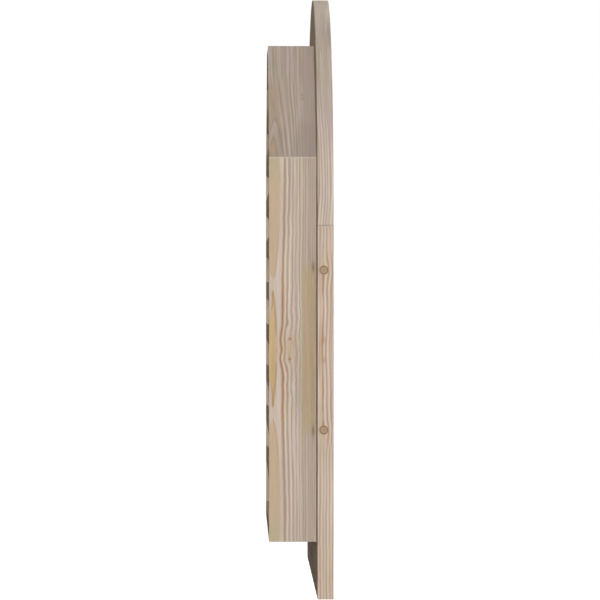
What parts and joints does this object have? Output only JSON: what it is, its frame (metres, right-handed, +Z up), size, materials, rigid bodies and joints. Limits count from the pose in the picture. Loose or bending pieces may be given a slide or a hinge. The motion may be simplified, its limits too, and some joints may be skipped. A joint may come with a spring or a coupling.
{
  "type": "gable vent",
  "caption": "Round-top gable vent: a flat face frame with a half-round head, a shallow box behind it for the wall opening, and fixed slats that slope down to the front.",
  "frame": {"origin": "middle of the sill line of the wall opening, on the wall's outer face, which is the plane of the frame's back", "axes": "+Z up; +Y into the wall, so the front faces -Y; +X to the right seen from the front"},
  "size_m": [0.5842, 0.0762, 0.7366],
  "materials": {
    "frame_wood": "planed, unfinished",
    "box_wood": "planed, unfinished",
    "slat_wood": "planed, unfinished",
    "dowel_wood": "plain",
    "nail_steel": "bright"
  },
  "bodies": {
    "root": {"stile_left": "frame_wood", "stile_right": "frame_wood", "bottom_rail": "frame_wood", "arch_left": "frame_wood", "arch_right": "frame_wood", "frame_dowels": "dowel_wood", "frame_nails": "nail_steel", "side_left": "box_wood", "side_right": "box_wood", "bottom_board": "box_wood", "shoulder_left": "box_wood", "shoulder_right": "box_wood", "top_board": "box_wood", "slat_01": "slat_wood", "slat_02": "slat_wood", "slat_03": "slat_wood", "slat_04": "slat_wood", "slat_05": "slat_wood", "slat_06": "slat_wood", "slat_07": "slat_wood", "slat_08": "slat_wood", "slat_09": "slat_wood", "slat_10": "slat_wood"}
  },
  "joints": []
}
